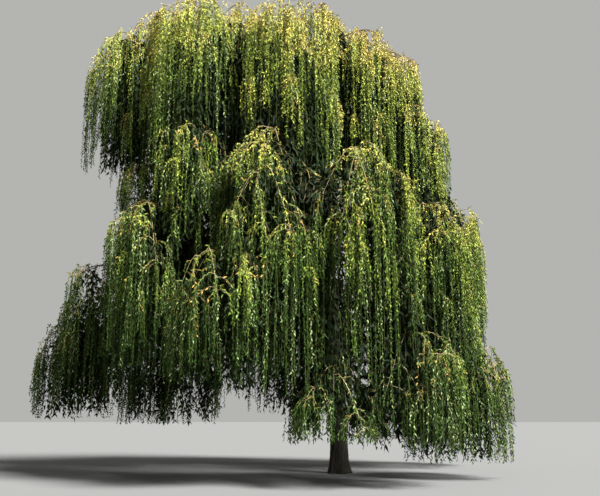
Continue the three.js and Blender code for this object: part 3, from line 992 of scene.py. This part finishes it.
def leaf_tree():
    tree = new_tree("leaves", [
        ("Leaf", "NodeSocketObject", None),
        ("Spacing", "NodeSocketFloat", 0.045),
        ("Length", "NodeSocketFloat", 0.17),
        ("Width", "NodeSocketFloat", 0.03),
        ("Spread", "NodeSocketFloat", 0.85),
        ("Droop", "NodeSocketFloat", 0.25),
        ("Seed", "NodeSocketInt", 0),
        ("Material", "NodeSocketMaterial", None),
    ])
    given = add_node(tree, "NodeGroupInput").outputs
    curves = add_node(tree, "GeometryNodeMeshToCurve", {"Mesh": given["Geometry"]})
    outside = add_node(tree, "GeometryNodeInputNamedAttribute", {"Name": "outside"}, data_type="FLOAT_VECTOR")
    spots = add_node(tree, "GeometryNodeCurveToPoints",
                     {"Curve": curves.outputs[0], "Length": given["Spacing"]}, mode="LENGTH")
    number = add_node(tree, "GeometryNodeInputIndex").outputs[0]
    stray = add_node(tree, "FunctionNodeRandomValue", {"Min": -0.6, "Max": 0.6, "Seed": given["Seed"]})
    turn = maths(tree, "MULTIPLY_ADD", number, GOLDEN_ANGLE, stray.outputs["Value"])
    away = add_node(tree, "ShaderNodeVectorRotate", {
        "Vector": spots.outputs["Normal"],
        "Axis": spots.outputs["Tangent"],
        "Angle": turn,
    }).outputs[0]
    spread_seed = maths(tree, "ADD", given["Seed"], 3.0)
    free = add_node(tree, "FunctionNodeRandomValue", {"Min": 0.3, "Max": 1.7, "Seed": spread_seed})
    spread = maths(tree, "MULTIPLY", given["Spread"], free.outputs["Value"])
    sideways = add_node(tree, "ShaderNodeVectorMath", {0: away, "Scale": spread}, operation="SCALE")
    down = add_node(tree, "ShaderNodeCombineXYZ", {"Z": maths(tree, "MULTIPLY", given["Droop"], -1.0)})
    leaning = vector_maths(tree, "ADD", spots.outputs["Tangent"], sideways.outputs[0])
    way = vector_maths(tree, "ADD", leaning, down.outputs[0])
    facing_way = vector_maths(tree, "ADD", away, outside.outputs["Attribute"])
    facing = add_node(tree, "FunctionNodeAxesToRotation", {"Primary Axis": way, "Secondary Axis": facing_way},
                      primary_axis="Z", secondary_axis="Y")
    roll_seed = maths(tree, "ADD", given["Seed"], 1.0)
    roll = add_node(tree, "FunctionNodeRandomValue", {"Min": -1.1, "Max": 1.1, "Seed": roll_seed})
    roll_axis = add_node(tree, "ShaderNodeCombineXYZ", {"Z": roll.outputs["Value"]})
    rolled = add_node(tree, "FunctionNodeEulerToRotation", {"Euler": roll_axis.outputs[0]})
    stand = add_node(tree, "FunctionNodeRotateRotation",
                     {"Rotation": facing.outputs[0], "Rotate By": rolled.outputs[0]}, rotation_space="LOCAL")
    size_seed = maths(tree, "ADD", given["Seed"], 2.0)
    size = add_node(tree, "FunctionNodeRandomValue", {"Min": 0.6, "Max": 1.25, "Seed": size_seed})
    breadth = maths(tree, "MULTIPLY", size.outputs["Value"], given["Width"])
    length = maths(tree, "MULTIPLY", size.outputs["Value"], given["Length"])
    measure = add_node(tree, "ShaderNodeCombineXYZ", {"X": breadth, "Y": length, "Z": length})
    leaf = add_node(tree, "GeometryNodeObjectInfo", {"Object": given["Leaf"]})
    leaves = add_node(tree, "GeometryNodeInstanceOnPoints", {
        "Points": spots.outputs["Points"],
        "Instance": leaf.outputs["Geometry"],
        "Rotation": stand.outputs[0],
        "Scale": measure.outputs[0],
    })
    real = add_node(tree, "GeometryNodeRealizeInstances", {"Geometry": leaves.outputs[0]})
    painted = add_node(tree, "GeometryNodeSetMaterial",
                       {"Geometry": real.outputs[0], "Material": given["Material"]})
    add_node(tree, "NodeGroupOutput", {"Geometry": painted.outputs[0]})
    return tree


# %% [markdown]
# Leaves and thin shoots are made of plain colours, one for each kind of spray, because a pattern would be lost
# on shapes that small. A willow leaf is only a little glossy. Bark is a pattern: dark grey-brown, paler in
# patches drawn out along the wood, with a green bloom of algae here and there.

# %% Materials
def plain_material(name, colour, roughness):
    material = bpy.data.materials.new(name)
    material.use_nodes = True
    shader = material.node_tree.nodes["Principled BSDF"]
    shader.inputs["Base Color"].default_value = (*colour, 1)
    shader.inputs["Roughness"].default_value = roughness
    shader.inputs["Specular IOR Level"].default_value = 0.08
    return material


def bark_material():
    material = bpy.data.materials.new("furrowed_bark")
    material.use_nodes = True
    tree = material.node_tree
    shader = tree.nodes["Principled BSDF"]
    place = add_node(tree, "ShaderNodeTexCoord").outputs["Object"]
    drawn_out = add_node(tree, "ShaderNodeMapping", {"Vector": place, "Scale": (1, 1, 0.22)})
    patches = add_node(tree, "ShaderNodeTexNoise",
                       {"Vector": drawn_out.outputs[0], "Scale": 14.0, "Detail": 8.0, "Roughness": 0.65})
    grain = add_node(tree, "ShaderNodeTexNoise",
                     {"Vector": drawn_out.outputs[0], "Scale": 70.0, "Detail": 4.0, "Roughness": 0.6})
    ramp = add_node(tree, "ShaderNodeValToRGB", {"Fac": patches.outputs[0]})
    # These bark colours are darker than real bark: partly the willow's own dark bark and partly painted shade,
    # for the shade under the crown.
    ramp.color_ramp.elements[0].position = 0.34
    ramp.color_ramp.elements[0].color = (0.008, 0.007, 0.005, 1)
    ramp.color_ramp.elements[1].position = 0.68
    ramp.color_ramp.elements[1].color = (0.036, 0.030, 0.023, 1)
    bloom = add_node(tree, "ShaderNodeTexNoise", {"Vector": place, "Scale": 2.4, "Detail": 3.0})
    amount = add_node(tree, "ShaderNodeMapRange",
                      {"Value": bloom.outputs[0], "From Min": 0.5, "From Max": 0.75, "To Max": 0.45})
    mixed = add_node(tree, "ShaderNodeMix", {"Factor": amount.outputs[0]}, data_type="RGBA")
    tree.links.new(ramp.outputs[0], mixed.inputs["A"])
    mixed.inputs["B"].default_value = (0.024, 0.030, 0.012, 1)
    tree.links.new(mixed.outputs["Result"], shader.inputs["Base Color"])
    relief = add_node(tree, "ShaderNodeBump",
                      {"Height": grain.outputs[0], "Strength": 0.5, "Distance": 0.006})
    tree.links.new(relief.outputs[0], shader.inputs["Normal"])
    shader.inputs["Roughness"].default_value = 0.92
    shader.inputs["Specular IOR Level"].default_value = 0.2
    return material


materials = {name: plain_material("leaf_" + name, colour, 0.6) for name, colour in LEAF_COLOURS.items()}
materials["golden_shoot"] = plain_material("golden_shoot_bark", (0.34, 0.24, 0.07), 0.6)
materials["green_shoot"] = plain_material("green_shoot_bark", (0.085, 0.105, 0.025), 0.6)
materials["twig"] = plain_material("tan_twig_bark", (0.34, 0.26, 0.13), 0.7)
materials["stem"] = plain_material("brown_stem_bark", (0.13, 0.10, 0.055), 0.8)
materials["bark"] = bark_material()
print("materials:", sorted(materials))

# %% [markdown]
# With the trees and materials ready, the pieces are made. Every piece rides on the one body of the tree and
# hides the solids of the frame that it stands for. A colour with many leaves is shared out over several pieces,
# so that none is too large.

# %% Make the pieces
# spacing along the shoot, length, width
LEAF_SIZE = (0.069, 0.100, 0.034)
INNER_LEAF_SIZES = {"shade": (0.145, 0.21, 0.072), "dark": (0.25, 0.32, 0.115)}
MOST_LEAVES = 90000
MOST_RODS = 9000
foliage_nodes = [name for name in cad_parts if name.startswith("foliage_")]
limb_nodes = [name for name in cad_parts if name.startswith("limb_")]
bough_nodes = [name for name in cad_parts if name.startswith("bough_")]


def finish_piece(piece, nodes):
    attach(piece, "root")
    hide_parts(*nodes)
    print(piece.name, triangles(piece.data), "triangles")


def make_bark_pieces():
    stands_for = {"trunk_bark": ["trunk"], "limb_bark": limb_nodes, "bough_bark": bough_nodes}
    for name, nodes in stands_for.items():
        piece = bpy.data.objects.new(name, bark_meshes[name])
        bpy.context.scene.collection.objects.link(piece)
        piece.data.materials.append(materials["bark"])
        finish_piece(piece, nodes)


def make_rod_pieces():
    tree = rod_tree()
    for name, lines, finish, slot in (
        ("stems", stem_lines, "stem", "bark"),
        ("twigs", twig_lines, "twig", "bark"),
        ("shoot_heads", shoot_heads, "golden_shoot", "leaves"),
        ("shoot_ends", shoot_ends, "green_shoot", "leaves"),
    ):
        shares = math.ceil(len(lines) / MOST_RODS)
        for share in range(shares):
            part = f"{name}_{share + 1}"
            mesh = line_mesh(part, lines[share::shares], "thickness", "FLOAT", 1)
            piece = run_tree(part, mesh, tree, {"Sides": 3, "Material": materials[finish]})
            finish_piece(piece, foliage_nodes)


def make_leaf_pieces():
    tree = leaf_tree()
    pattern = leaf_pattern()
    for index, (colour, lines) in enumerate(spray_lines.items()):
        if not lines:
            continue
        spacing, length, width = INNER_LEAF_SIZES.get(colour, LEAF_SIZE)
        total = sum(path_length(line) for line, _ in lines) / spacing + len(lines)
        shares = math.ceil(total / MOST_LEAVES)
        for share in range(shares):
            name = f"leaves_{colour}_{share + 1}"
            mesh = line_mesh(name, lines[share::shares], "outside", "FLOAT_VECTOR", 3)
            piece = run_tree(name, mesh, tree, {
                "Leaf": pattern,
                "Spacing": spacing,
                "Length": length,
                "Width": width,
                "Seed": 10 * index + share,
                "Material": materials[colour],
            })
            finish_piece(piece, foliage_nodes)
    bpy.data.objects.remove(pattern)


make_bark_pieces()
make_rod_pieces()
make_leaf_pieces()

# %% [markdown]
# The tree stands on a plain pale floor, under a large soft light from high up on the right, as on the bright
# but hazy day of the photograph. A pale even light from all around fills the shadows.

# %% Floor and light
FLOOR_HALF = 400.0
SUN_BEARING = -38  # where the light comes from, in plan
SUN_HEIGHT = 48
SUN_STRENGTH = 18.0
SUN_SOFTNESS = 22
SKY_COLOUR = (0.95, 0.95, 0.92)
SKY_STRENGTH = 0.48


def make_floor():
    mesh = bpy.data.meshes.new("floor")
    corners = [(x * FLOOR_HALF, y * FLOOR_HALF, 0) for x, y in ((-1, -1), (1, -1), (1, 1), (-1, 1))]
    mesh.from_pydata(corners, [], [(0, 1, 2, 3)])
    floor = bpy.data.objects.new("floor", mesh)
    bpy.context.scene.collection.objects.link(floor)
    mesh.materials.append(plain_material("pale_floor", (0.12, 0.12, 0.117), 0.9))
    floor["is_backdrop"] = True


def make_light():
    data = bpy.data.lights.new("sun", "SUN")
    data.energy = SUN_STRENGTH
    data.angle = math.radians(SUN_SOFTNESS)
    sun = bpy.data.objects.new("sun", data)
    towards = Vector(placed(SUN_BEARING, math.cos(math.radians(SUN_HEIGHT)), math.sin(math.radians(SUN_HEIGHT))))
    sun.rotation_euler = towards.to_track_quat("Z", "Y").to_euler()
    bpy.context.scene.collection.objects.link(sun)
    sky = bpy.data.worlds.new("sky")
    sky.use_nodes = True
    background = sky.node_tree.nodes["Background"]
    background.inputs["Color"].default_value = (*SKY_COLOUR, 1)
    background.inputs["Strength"].default_value = SKY_STRENGTH
    bpy.context.scene.world = sky


make_floor()
make_light()
bpy.context.scene.view_settings.view_transform = "Standard"

# %% Check the size and finish
low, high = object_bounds()
print("visual box:", [round(x, 2) for x in low], [round(x, 2) for x in high])
